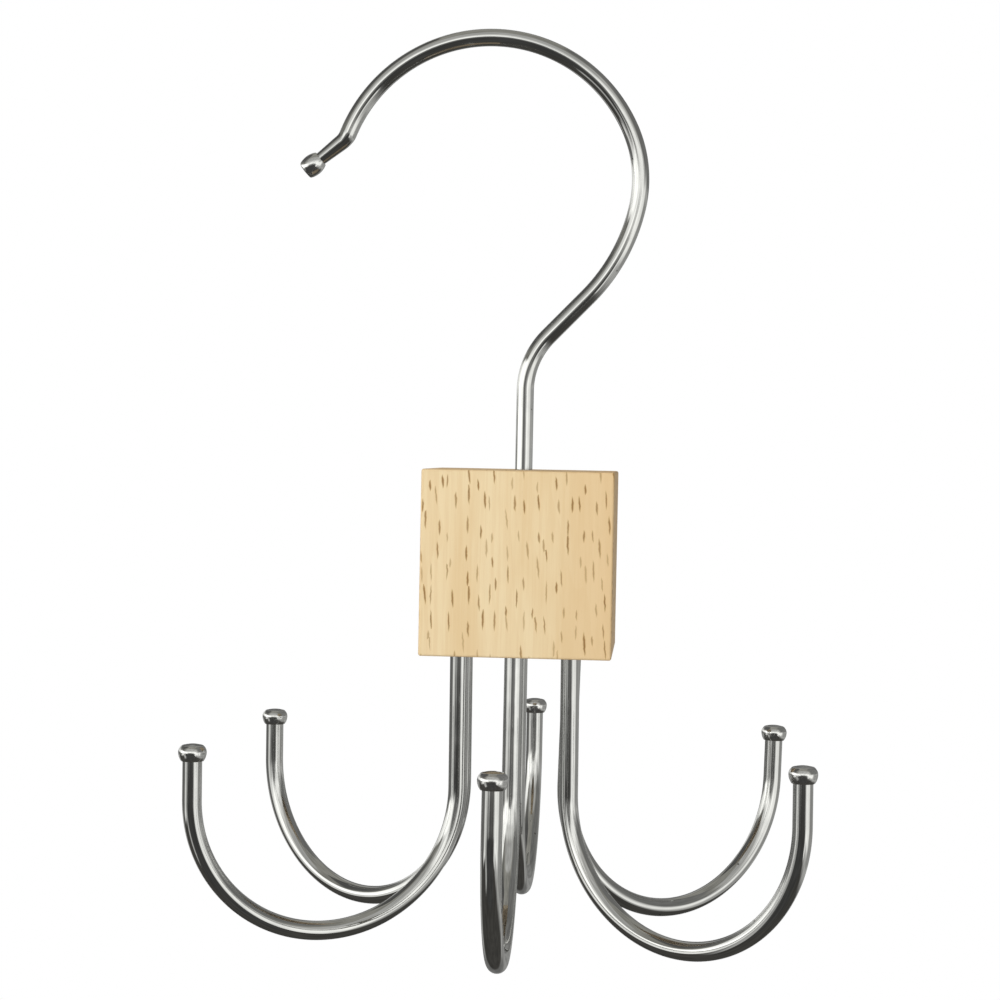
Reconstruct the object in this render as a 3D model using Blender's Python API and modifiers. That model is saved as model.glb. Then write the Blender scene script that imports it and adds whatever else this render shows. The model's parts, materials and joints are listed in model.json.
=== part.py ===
"""Multi-hook hanger: a wire hook that carries a turning beech block with six J-shaped hooks under it.

Metres, +Z up. The origin is the place where a rod carries the hanger: on the swivel axis, at the
inside surface of the top hook's loop. The front faces -Y, +X is to the right, and the top hook's
open tip is towards -X. The block and all that it holds turn about the Z axis.
"""

import math
from typing import NamedTuple

import bmesh
import bpy
from mathutils import Euler, Matrix, Vector

# Clearances
FIT_GAP = 0.0002
SWIVEL_GAP = 0.0003
CUT_OVERRUN = 0.002

# Wood block
BLOCK_WIDTH = 0.0400
BLOCK_DEPTH = 0.0400
BLOCK_HEIGHT = 0.0388
BLOCK_EDGE_RADIUS = 0.0008

# Top hook, from the block's top up to the tip
TOP_WIRE_DIAMETER = 0.0037
STEM_RISE = 0.0171
STEM_BEND_RADIUS = 0.0167
STEM_BEND_DEGREES = -44.1
SHANK_LENGTH = 0.0118
SHANK_BEND_RADIUS = 0.0396
SHANK_BEND_DEGREES = 31.9
LOOP_SIDE_RADIUS = 0.0269
LOOP_SIDE_DEGREES = 37.1
LOOP_TOP_RADIUS = 0.0330
LOOP_TOP_DEGREES = 134.2
KINK_RADIUS = 0.0029
KINK_DEGREES = -30.3
NECK_DIAMETER = 0.0028
NECK_LENGTH = 0.0063

# Button on the top hook's tip
BUTTON_OVERHANG = 0.0009
BUTTON_HEIGHT = 0.0044
BUTTON_DOME_HEIGHT = 0.0002
BUTTON_SHOULDER_HEIGHT = 0.0007
BUTTON_SHOULDER_INSET = 0.0005
BUTTON_SKIRT_HEIGHT = 0.0009
BUTTON_SOCKET_DEPTH = 0.0026

# Swivel: the stem's lower end, its washer and its nut, in a counterbore from below
WASHER_DIAMETER = 0.0090
WASHER_THICKNESS = 0.0008
NUT_ACROSS_FLATS = 0.0070
NUT_HEIGHT = 0.0032
STEM_END_LENGTH = 0.0014
STEM_CHAMFER = 0.0003
COUNTERBORE_MARGIN = 0.0010
NUT_RECESS = 0.0030

# J hooks
HOOK_WIRE_DIAMETER = 0.0040
HOOK_RING_DIAMETER = 0.0268
HOOK_RING_OFFSET = -0.0008
HOOK_SEAT_DEPTH = 0.0140
HOOK_DROP = 0.0294
INNER_BEND_RADIUS = 0.0289
OUTER_BEND_RADIUS = 0.0284
TIP_RISE = 0.0084

# Caps on the J hooks' tips
CAP_OVERHANG = 0.0009
CAP_HEIGHT = 0.0035
CAP_DOME_HEIGHT = 0.0002
CAP_SHOULDER_HEIGHT = 0.0013
CAP_SHOULDER_INSET = 0.0009
CAP_SKIRT_HEIGHT = 0.0017
CAP_SOCKET_DEPTH = 0.0021
CAP_LIP_WALL = 0.00025

# Fineness of the round forms
BEND_STEP_DEGREES = 7.0
WIRE_BEVEL_RESOLUTION = 4
TURNED_STEPS = 20
HOLE_SIDES = 24
EDGE_STEPS = 4
SMOOTH_DEGREES = 35.0

# Axis merges happen within this distance, far below any size of the hanger
MERGE_DISTANCE = 0.000001


class HookStand(NamedTuple):
    """Where one J hook stands, and how it was set: the shares are of the hook's wire diameter."""

    name: str
    azimuth_degrees: float
    turn_degrees: float
    lean_degrees: float
    across_share: float
    drop_share: float
    rise_share: float


# The hooks stand evenly round a circle. Each hole and each hook is a little off true.
HOOK_STANDS = (
    HookStand("front_hook", -90.0, 0.2, 1.8, 0.09, -0.06, 0.0),
    HookStand("front_right_hook", -30.0, -4.5, 0.5, 0.07, 0.11, 0.06),
    HookStand("rear_right_hook", 30.0, 6.0, -1.5, 0.04, 0.02, 0.03),
    HookStand("rear_hook", 90.0, -0.8, -0.5, -0.08, 0.03, 0.12),
    HookStand("rear_left_hook", 150.0, -4.6, -0.4, -0.09, 0.0, -0.11),
    HookStand("front_left_hook", -150.0, -6.2, -0.3, -0.02, -0.10, -0.08),
)


class Straight(NamedTuple):
    """A straight run of wire, with the wire's thickness at its end as a share of the full one."""

    length: float
    end_share: float = 1.0


class Bend(NamedTuple):
    """A round bend of wire. Positive degrees turn to the left of the way that the wire runs."""

    radius: float
    degrees: float
    end_share: float = 1.0


class WirePoint(NamedTuple):
    """A point of a wire's centre line in its plane, with its thickness as a share."""

    across: float
    up: float
    share: float


class CapForm(NamedTuple):
    """Sizes of a cap: its overhang past the wire, and its heights from the top down."""

    overhang: float
    height: float
    dome: float
    shoulder: float
    shoulder_inset: float
    skirt: float
    socket: float


BUTTON_FORM = CapForm(
    BUTTON_OVERHANG,
    BUTTON_HEIGHT,
    BUTTON_DOME_HEIGHT,
    BUTTON_SHOULDER_HEIGHT,
    BUTTON_SHOULDER_INSET,
    BUTTON_SKIRT_HEIGHT,
    BUTTON_SOCKET_DEPTH,
)
CAP_FORM = CapForm(
    CAP_OVERHANG,
    CAP_HEIGHT,
    CAP_DOME_HEIGHT,
    CAP_SHOULDER_HEIGHT,
    CAP_SHOULDER_INSET,
    CAP_SKIRT_HEIGHT,
    CAP_SOCKET_DEPTH,
)


def wire_points(start, heading_degrees, moves, start_share=1.0):
    """The centre line of a wire that runs from start through its moves, all in one plane."""
    across, up = start
    heading = math.radians(heading_degrees)
    share = start_share
    points = [WirePoint(across, up, share)]
    for move in moves:
        if isinstance(move, Straight):
            across += move.length * math.cos(heading)
            up += move.length * math.sin(heading)
            points.append(WirePoint(across, up, move.end_share))
            share = move.end_share
            continue
        turn = math.radians(move.degrees)
        side = math.copysign(move.radius, turn)
        centre_across = across - side * math.sin(heading)
        centre_up = up + side * math.cos(heading)
        steps = max(2, math.ceil(abs(move.degrees) / BEND_STEP_DEGREES))
        for step in range(1, steps + 1):
            at = heading + turn * step / steps
            across = centre_across + side * math.sin(at)
            up = centre_up - side * math.cos(at)
            points.append(WirePoint(across, up, share + (move.end_share - share) * step / steps))
        heading += turn
        share = move.end_share
    return points, math.degrees(heading)


def height_above_axis(points, radius):
    """The height of the wire's inner surface on the swivel axis, at the wire's highest crossing."""
    heights = []
    for low, high in zip(points, points[1:]):
        if low.across * high.across > 0 or low.across == high.across:
            continue
        slope = (high.up - low.up) / (high.across - low.across)
        heights.append(low.up - slope * low.across - radius * math.hypot(1, slope))
    return max(heights)


def clear_scene():
    """Removes the objects that the file starts with."""
    for obj in list(bpy.data.objects):
        bpy.data.objects.remove(obj, do_unlink=True)


def make_collection(name):
    collection = bpy.data.collections.new(name)
    bpy.context.scene.collection.children.link(collection)
    return collection


def make_material(name, color, roughness, metallic):
    material = bpy.data.materials.new(name)
    material.use_nodes = True
    shader = material.node_tree.nodes["Principled BSDF"]
    shader.inputs["Base Color"].default_value = (*color, 1.0)
    shader.inputs["Roughness"].default_value = roughness
    shader.inputs["Metallic"].default_value = metallic
    material.diffuse_color = (*color, 1.0)
    return material


def make_empty(name, location, collection):
    empty = bpy.data.objects.new(name, None)
    empty.location = location
    collection.objects.link(empty)
    return empty


def make_object(name, data, collection, material=None, parent=None):
    obj = bpy.data.objects.new(name, data)
    collection.objects.link(obj)
    obj.parent = parent
    if material:
        data.materials.append(material)
    return obj


def hide_cutter(obj):
    obj.hide_render = True
    obj.display_type = "WIRE"


def make_wire(name, points, diameter, collection, material, parent=None):
    """A round wire in its XZ plane, as a poly curve with filled ends."""
    curve = bpy.data.curves.new(name, "CURVE")
    curve.dimensions = "3D"
    curve.bevel_depth = diameter / 2
    curve.bevel_resolution = WIRE_BEVEL_RESOLUTION
    curve.use_fill_caps = True
    spline = curve.splines.new("POLY")
    spline.points.add(len(points) - 1)
    for knot, point in zip(spline.points, points):
        knot.co = (point.across, 0, point.up, 1)
        knot.radius = point.share
    return make_object(name, curve, collection, material, parent)


def make_turned(name, profile, collection, closed=False, material=None, parent=None):
    """A round piece: its profile, from the top down the outer side, is turned about Z."""
    mesh = bpy.data.meshes.new(name)
    edges = [(i, i + 1) for i in range(len(profile) - 1)]
    if closed:
        edges.append((len(profile) - 1, 0))
    mesh.from_pydata([(across, 0, up) for across, up in profile], edges, [])
    obj = make_object(name, mesh, collection, material, parent)
    screw = obj.modifiers.new("Turn", "SCREW")
    screw.axis = "Z"
    screw.steps = TURNED_STEPS
    screw.render_steps = TURNED_STEPS
    screw.use_merge_vertices = True
    screw.merge_threshold = MERGE_DISTANCE
    screw.use_smooth_shade = True
    return obj


def prism_mesh(name, sides, radius, low, high):
    """An upright prism about Z between two heights."""
    mesh = bpy.data.meshes.new(name)
    shape = bmesh.new()
    bmesh.ops.create_cone(
        shape,
        cap_ends=True,
        segments=sides,
        radius1=radius,
        radius2=radius,
        depth=high - low,
        matrix=Matrix.Translation((0, 0, (low + high) / 2)),
    )
    shape.to_mesh(mesh)
    shape.free()
    mesh.shade_smooth()
    mesh.set_sharp_from_angle(angle=math.radians(SMOOTH_DEGREES))
    return mesh


def cut_with(obj, cutters):
    """Cuts every object of a collection out of a piece."""
    cut = obj.modifiers.new("Holes", "BOOLEAN")
    cut.operation = "DIFFERENCE"
    cut.operand_type = "COLLECTION"
    cut.collection = cutters


def cap_profile(wire_radius, form):
    """A pressed-on cap: low dome, round shoulder, a skirt that draws in to the wire, and a socket."""
    outer = wire_radius + form.overhang
    inner = wire_radius + FIT_GAP
    lip = inner + min(CAP_LIP_WALL, (outer - inner) / 2)
    crown = outer - form.shoulder_inset
    shoulder = form.height - form.dome - form.shoulder
    skirt = form.skirt
    socket = form.socket
    profile = [(0, form.height)]
    for step in range(EDGE_STEPS + 1):
        angle = math.radians(90 * step / EDGE_STEPS)
        across = crown + form.shoulder_inset * math.sin(angle)
        profile.append((across, shoulder + form.shoulder * math.cos(angle)))
    for step in range(EDGE_STEPS + 1):
        angle = math.radians(90 * step / EDGE_STEPS)
        profile.append((lip + (outer - lip) * math.cos(angle), skirt * (1 - math.sin(angle))))
    profile += [(inner, 0), (inner, socket), (0, socket)]
    return profile


def top_hook_path():
    """The stem above the block, the slanted shank, the round loop and the necked, kinked tip."""
    neck_share = NECK_DIAMETER / TOP_WIRE_DIAMETER
    moves = (
        Straight(STEM_RISE),
        Bend(STEM_BEND_RADIUS, STEM_BEND_DEGREES),
        Straight(SHANK_LENGTH),
        Bend(SHANK_BEND_RADIUS, SHANK_BEND_DEGREES),
        Bend(LOOP_SIDE_RADIUS, LOOP_SIDE_DEGREES),
        Bend(LOOP_TOP_RADIUS, LOOP_TOP_DEGREES),
        Bend(KINK_RADIUS, KINK_DEGREES, neck_share),
        Straight(NECK_LENGTH, neck_share),
    )
    return wire_points((0, 0), 90, moves)


def swivel_heights(block_top):
    """Heights of the swivel's faces inside the block, from the counterbore's ceiling down."""
    stack = SWIVEL_GAP + WASHER_THICKNESS + FIT_GAP + NUT_HEIGHT + STEM_END_LENGTH
    ceiling = block_top - BLOCK_HEIGHT + stack + NUT_RECESS
    washer_top = ceiling - SWIVEL_GAP
    nut_top = washer_top - WASHER_THICKNESS - FIT_GAP
    stem_end = nut_top - NUT_HEIGHT - STEM_END_LENGTH
    return ceiling, washer_top, nut_top, stem_end


def build_top_hook(block_top, path, end_heading, collection, chrome):
    """The hanging hook from its chamfered lower end to its neck, and the button on its tip."""
    stem_end = swivel_heights(block_top)[3]
    chamfer_share = 1 - 2 * STEM_CHAMFER / TOP_WIRE_DIAMETER
    points = [WirePoint(0, stem_end, chamfer_share), WirePoint(0, stem_end + STEM_CHAMFER, 1)]
    points += [WirePoint(point.across, point.up + block_top, point.share) for point in path]
    end = points[-1]
    along = math.radians(end_heading)
    inside = BUTTON_SOCKET_DEPTH - FIT_GAP
    points.append(
        WirePoint(end.across + inside * math.cos(along), end.up + inside * math.sin(along), end.share)
    )
    make_wire("hanging_hook", points, TOP_WIRE_DIAMETER, collection, chrome)
    profile = cap_profile(NECK_DIAMETER / 2, BUTTON_FORM)
    button = make_turned("hanging_hook_cap", profile, collection, material=chrome)
    button.location = (end.across, 0, end.up)
    button.rotation_euler = Euler((0, math.radians(90 - end_heading), 0))


def build_swivel(block_top, collection, steel):
    """The washer that the block hangs on, and the nut that holds it on the stem's end."""
    _, washer_top, nut_top, _ = swivel_heights(block_top)
    bore_radius = TOP_WIRE_DIAMETER / 2 + FIT_GAP
    ring = [
        (WASHER_DIAMETER / 2, 0),
        (WASHER_DIAMETER / 2, -WASHER_THICKNESS),
        (bore_radius, -WASHER_THICKNESS),
        (bore_radius, 0),
    ]
    washer = make_turned("swivel_washer", ring, collection, closed=True, material=steel)
    washer.location = (0, 0, washer_top)

    corner_radius = NUT_ACROSS_FLATS / 2 / math.cos(math.radians(30))
    nut = make_object(
        "swivel_nut", prism_mesh("swivel_nut", 6, corner_radius, -NUT_HEIGHT, 0), collection, steel
    )
    nut.location = (0, 0, nut_top)
    nut_cutters = make_collection("multi_hook_hanger_nut_cutters")
    bore = make_object(
        "nut_bore_cutter",
        prism_mesh("nut_bore_cutter", HOLE_SIDES, bore_radius, -NUT_HEIGHT - CUT_OVERRUN, CUT_OVERRUN),
        nut_cutters,
    )
    bore.location = nut.location
    hide_cutter(bore)
    cut_with(nut, nut_cutters)


def build_block(block_top, collection, cutters, wood, pivot):
    """The beech block, with its swivel bore and counterbore. The hooks add their own holes."""
    mesh = bpy.data.meshes.new("wood_block")
    shape = bmesh.new()
    bmesh.ops.create_cube(shape, size=1, matrix=Matrix.Diagonal((BLOCK_WIDTH, BLOCK_DEPTH, BLOCK_HEIGHT, 1)))
    shape.to_mesh(mesh)
    shape.free()
    block = make_object("wood_block", mesh, collection, wood, pivot)
    block.location = (0, 0, -BLOCK_HEIGHT / 2)
    edges = block.modifiers.new("Rounded edges", "BEVEL")
    edges.width = BLOCK_EDGE_RADIUS
    edges.segments = 2
    cut_with(block, cutters)

    ceiling = swivel_heights(block_top)[0]
    bore_radius = TOP_WIRE_DIAMETER / 2 + FIT_GAP
    counterbore_radius = WASHER_DIAMETER / 2 + COUNTERBORE_MARGIN
    bottom = block_top - BLOCK_HEIGHT
    profile = [
        (0, block_top + CUT_OVERRUN),
        (bore_radius, block_top + CUT_OVERRUN),
        (bore_radius, ceiling),
        (counterbore_radius, ceiling),
        (counterbore_radius, bottom - CUT_OVERRUN),
        (0, bottom - CUT_OVERRUN),
    ]
    hide_cutter(make_turned("swivel_bore_cutter", profile, cutters))
    return block


def build_j_hook(stand, underside, collection, cutters, chrome, pivot):
    """One J hook in its hole in the block's underside, with the cap on its tip."""
    drop = HOOK_DROP + stand.drop_share * HOOK_WIRE_DIAMETER
    seat = HOOK_SEAT_DEPTH - stand.drop_share * HOOK_WIRE_DIAMETER
    rise = TIP_RISE + stand.rise_share * HOOK_WIRE_DIAMETER
    moves = (
        Straight(seat + drop),
        Bend(INNER_BEND_RADIUS, 90),
        Bend(OUTER_BEND_RADIUS, 90),
        Straight(rise + CAP_SOCKET_DEPTH - FIT_GAP),
    )
    points, _ = wire_points((0, seat), -90, moves)
    ring_radius = HOOK_RING_DIAMETER / 2
    azimuth = math.radians(stand.azimuth_degrees)
    across = HOOK_RING_OFFSET + stand.across_share * HOOK_WIRE_DIAMETER + ring_radius * math.cos(azimuth)
    place = Vector((across, ring_radius * math.sin(azimuth), -BLOCK_HEIGHT))
    facing = math.radians(stand.azimuth_degrees + stand.turn_degrees)
    tilt = Euler((0, -math.radians(stand.lean_degrees), facing))

    hook = make_wire(stand.name, points, HOOK_WIRE_DIAMETER, collection, chrome, pivot)
    hook.location = place
    hook.rotation_euler = tilt

    profile = cap_profile(HOOK_WIRE_DIAMETER / 2, CAP_FORM)
    cap = make_turned(stand.name + "_cap", profile, collection, material=chrome, parent=hook)
    bend_bottom = -drop - INNER_BEND_RADIUS
    cap.location = (INNER_BEND_RADIUS + OUTER_BEND_RADIUS, 0, bend_bottom + OUTER_BEND_RADIUS + rise)

    hole_radius = HOOK_WIRE_DIAMETER / 2 + FIT_GAP
    hole = make_object(
        stand.name + "_hole_cutter",
        prism_mesh(stand.name + "_hole_cutter", HOLE_SIDES, hole_radius, -CUT_OVERRUN, seat + FIT_GAP),
        cutters,
    )
    hole.location = place + Vector((0, 0, underside + BLOCK_HEIGHT))
    hole.rotation_euler = tilt
    hide_cutter(hole)


def main():
    clear_scene()
    parts = make_collection("multi_hook_hanger")
    cutters = make_collection("multi_hook_hanger_cutters")
    chrome = make_material("chrome_wire", (0.62, 0.62, 0.61), 0.12, 1.0)
    steel = make_material("zinc_steel", (0.50, 0.50, 0.48), 0.35, 1.0)
    wood = make_material("beech_wood", (0.80, 0.62, 0.37), 0.55, 0.0)

    path, end_heading = top_hook_path()
    block_top = -height_above_axis(path, TOP_WIRE_DIAMETER / 2)
    pivot = make_empty("block_pivot", (0, 0, block_top), parts)

    build_top_hook(block_top, path, end_heading, parts, chrome)
    build_swivel(block_top, parts, steel)
    build_block(block_top, parts, cutters, wood, pivot)
    for stand in HOOK_STANDS:
        build_j_hook(stand, block_top - BLOCK_HEIGHT, parts, cutters, chrome, pivot)
    bpy.context.view_layer.update()


main()
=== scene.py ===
"""Looks of the multi-hook hanger: chromed wire hooks round a beech block that turns on a swivel.

Metres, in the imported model's frame: +Z up, the front towards -Y, the origin where a rod carries the
hanger. Sizes that part.py also has are repeated here, because the hooks' finer meshes follow the same
bends. Only the top hook's tip is eased a little more than in the solids, inside the same box.
"""

import json
import logging
import math
from dataclasses import dataclass, field
from enum import Enum
from typing import List, Mapping, NamedTuple, Optional, Sequence, Tuple, Union

import bmesh
import bpy
import numpy as np
from mathutils import Euler, Matrix, Vector

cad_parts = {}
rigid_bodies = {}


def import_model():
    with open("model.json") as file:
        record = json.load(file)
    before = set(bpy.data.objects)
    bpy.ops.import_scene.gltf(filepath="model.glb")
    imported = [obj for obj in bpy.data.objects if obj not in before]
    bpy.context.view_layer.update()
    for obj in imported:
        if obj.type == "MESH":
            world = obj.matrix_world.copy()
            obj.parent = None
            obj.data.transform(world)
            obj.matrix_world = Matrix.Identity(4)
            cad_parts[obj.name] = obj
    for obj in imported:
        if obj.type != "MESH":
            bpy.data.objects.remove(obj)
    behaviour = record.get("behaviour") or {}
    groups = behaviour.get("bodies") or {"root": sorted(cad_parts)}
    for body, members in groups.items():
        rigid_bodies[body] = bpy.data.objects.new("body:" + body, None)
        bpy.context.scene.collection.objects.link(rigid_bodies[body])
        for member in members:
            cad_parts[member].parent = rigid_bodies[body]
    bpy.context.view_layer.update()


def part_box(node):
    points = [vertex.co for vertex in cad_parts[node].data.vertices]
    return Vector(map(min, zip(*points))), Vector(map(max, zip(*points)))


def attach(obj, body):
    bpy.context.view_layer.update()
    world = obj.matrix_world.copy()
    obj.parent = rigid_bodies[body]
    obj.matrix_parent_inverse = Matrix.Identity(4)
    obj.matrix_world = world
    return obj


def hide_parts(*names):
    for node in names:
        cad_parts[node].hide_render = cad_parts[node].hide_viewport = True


LOG = logging.getLogger("multi_hook_hanger")

Range = Tuple[float, float]
Triple = Tuple[float, float, float]
Colour = Triple
Material = bpy.types.Material
Mesh = bpy.types.Mesh
Node = bpy.types.Node
NodeTree = bpy.types.NodeTree
Socket = bpy.types.NodeSocket
Value = Union[float, Sequence[float], Socket]

MILLIMETRES = 1000.0
FLOW = "flow"
WHITE: Colour = (1.0, 1.0, 1.0)
WIRE_SHARP_DEGREES = 50.0
TURNED_SHARP_DEGREES = 40.0
WELD_DISTANCE = 0.0000005

# The least distance to a panel's wall, for ways that run along it.
LEAST_REACH = 0.001


class LampRole(Enum):
    """What each studio lamp is for."""

    KEY = "key_lamp"
    BACK = "back_lamp"


class Body(Enum):
    """The two bodies of the hanger: what stays on the rod, and what turns under it."""

    HANGING_HOOK = "hanging_hook_body"
    BLOCK = "block_body"


class Slot(Enum):
    """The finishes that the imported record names."""

    CHROME = "chrome_wire"
    ZINC = "zinc_steel"
    BEECH = "beech_wood"


# Node trees


class NodeSheet:
    """A node tree, with short calls for the nodes that the finishes are made of."""

    def __init__(self, tree: NodeTree) -> None:
        """Takes the tree that the nodes go into."""
        self.tree = tree

    def feed(self, socket: Socket, value: Value) -> None:
        """Links a socket, or sets its own value.

        Args:
            socket: the input to feed.
            value: an output socket, a number, or a row of numbers.
        """
        if isinstance(value, Socket):
            self.tree.links.new(value, socket)
            return
        if isinstance(value, (int, float)):
            socket.default_value = value
            return
        numbers = tuple(value)
        if len(numbers) == 3 and socket.type == "RGBA":
            numbers = (*numbers, 1.0)
        socket.default_value = numbers

    def add(
        self, kind: str, inputs: Optional[Mapping[Union[str, int], Value]] = None, **settings: object
    ) -> Node:
        """Adds one node.

        Args:
            kind: the node's type name, without its ShaderNode prefix.
            inputs: what feeds each input, by the input's name or number.
            **settings: the node's own properties.

        Returns:
            The new node.
        """
        node = self.tree.nodes.new("ShaderNode" + kind)
        for name, setting in settings.items():
            setattr(node, name, setting)
        for key, value in (inputs or {}).items():
            self.feed(node.inputs[key], value)
        return node

    def group(self, made: NodeTree, inputs: Mapping[str, Value]) -> Node:
        """Places a node group with its own values.

        Args:
            made: the group.
            inputs: what feeds each of its inputs.

        Returns:
            The group's node.
        """
        node = self.add("Group", node_tree=made)
        for name, value in inputs.items():
            self.feed(node.inputs[name], value)
        return node

    def math(self, operation: str, first: Value, second: Value = 0.0, third: Value = 0.0) -> Socket:
        """Adds a Math node.

        Args:
            operation: the node's operation.
            first: its first value.
            second: its second value.
            third: its third value, where the operation has one.

        Returns:
            The result's socket.
        """
        return self.add("Math", {0: first, 1: second, 2: third}, operation=operation).outputs[0]

    def times(self, first: Value, second: Value) -> Socket:
        """Multiplies two numbers."""
        return self.math("MULTIPLY", first, second)

    def stretch(self, vector: Value, factors: Value) -> Socket:
        """Multiplies a vector by another, part by part."""
        return self.add("VectorMath", {0: vector, 1: factors}, operation="MULTIPLY").outputs[0]

    def parts(self, vector: Value) -> Sequence[Socket]:
        """Splits a vector into its X, Y and Z."""
        return self.add("SeparateXYZ", {0: vector}).outputs

    def channels(self, colour: Value) -> Sequence[Socket]:
        """Splits a colour into its red, green and blue."""
        return self.add("SeparateColor", {0: colour}).outputs

    def millimetres(self, place: Value) -> Socket:
        """Turns a place in metres into millimetres."""
        return self.stretch(place, (MILLIMETRES,) * 3)

    def flow_place(self) -> Socket:
        """The mesh's flow in millimetres, which tells the way that the piece was drawn or turned."""
        return self.millimetres(self.add("Attribute", attribute_name=FLOW).outputs["Vector"])

    def noise(
        self,
        vector: Value,
        scale: Value,
        detail: float = 2.0,
        roughness: float = 0.5,
        distortion: float = 0.0,
    ) -> Socket:
        """Adds a Noise Texture.

        Args:
            vector: where the noise is read.
            scale: its scale.
            detail: how many finer layers it has.
            roughness: how strong the finer layers are.
            distortion: how much it is warped.

        Returns:
            The grey value's socket.
        """
        inputs = {
            "Vector": vector,
            "Scale": scale,
            "Detail": detail,
            "Roughness": roughness,
            "Distortion": distortion,
        }
        return self.add("TexNoise", inputs).outputs[0]

    def remap(
        self,
        value: Value,
        low: Value,
        high: Value,
        to_low: Value = 0.0,
        to_high: Value = 1.0,
        smooth: bool = True,
    ) -> Socket:
        """Moves a value from one range to another, and clamps it there.

        Args:
            value: the value.
            low: the start of its range.
            high: the end of its range.
            to_low: what the start becomes.
            to_high: what the end becomes.
            smooth: eases in and out of the range.

        Returns:
            The result's socket.
        """
        inputs = {0: value, 1: low, 2: high, 3: to_low, 4: to_high}
        kind = "SMOOTHSTEP" if smooth else "LINEAR"
        return self.add("MapRange", inputs, interpolation_type=kind).outputs[0]

    def mix(self, share: Value, first: Value, second: Value) -> Socket:
        """Mixes two colours.

        Args:
            share: how much of the second one shows.
            first: the first colour.
            second: the second colour.

        Returns:
            The colour's socket.
        """
        node = self.add("Mix", {0: share, 6: first, 7: second}, data_type="RGBA")
        return node.outputs[2]

    def stain(self, ground: Value, stain: Value, mask: Value, most: float) -> Socket:
        """Lays one colour over another where a mask shows.

        Args:
            ground: the colour under it.
            stain: the colour laid over.
            mask: where it goes, from 0 to 1.
            most: the greatest share that it may take.

        Returns:
            The colour's socket.
        """
        return self.mix(self.times(mask, most), ground, stain)


def new_group(
    name: str, inputs: Mapping[str, str], outputs: Mapping[str, str]
) -> Tuple[NodeSheet, Node]:
    """Starts a shader node group.

    Args:
        name: the group's name.
        inputs: the socket type of each input, by name.
        outputs: the socket type of each output, by name.

    Returns:
        The sheet to add its nodes with, and its Group Input node.
    """
    tree = bpy.data.node_groups.new(name, "ShaderNodeTree")
    for label, kind in inputs.items():
        tree.interface.new_socket(name=label, in_out="INPUT", socket_type=kind)
    for label, kind in outputs.items():
        tree.interface.new_socket(name=label, in_out="OUTPUT", socket_type=kind)
    return NodeSheet(tree), tree.nodes.new("NodeGroupInput")


def close_group(sheet: NodeSheet, results: Mapping[str, Value]) -> NodeTree:
    """Ends a shader node group.

    Args:
        sheet: the group's sheet.
        results: what feeds each output.

    Returns:
        The finished group.
    """
    end = sheet.tree.nodes.new("NodeGroupOutput")
    for label, value in results.items():
        sheet.feed(end.inputs[label], value)
    return sheet.tree


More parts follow.
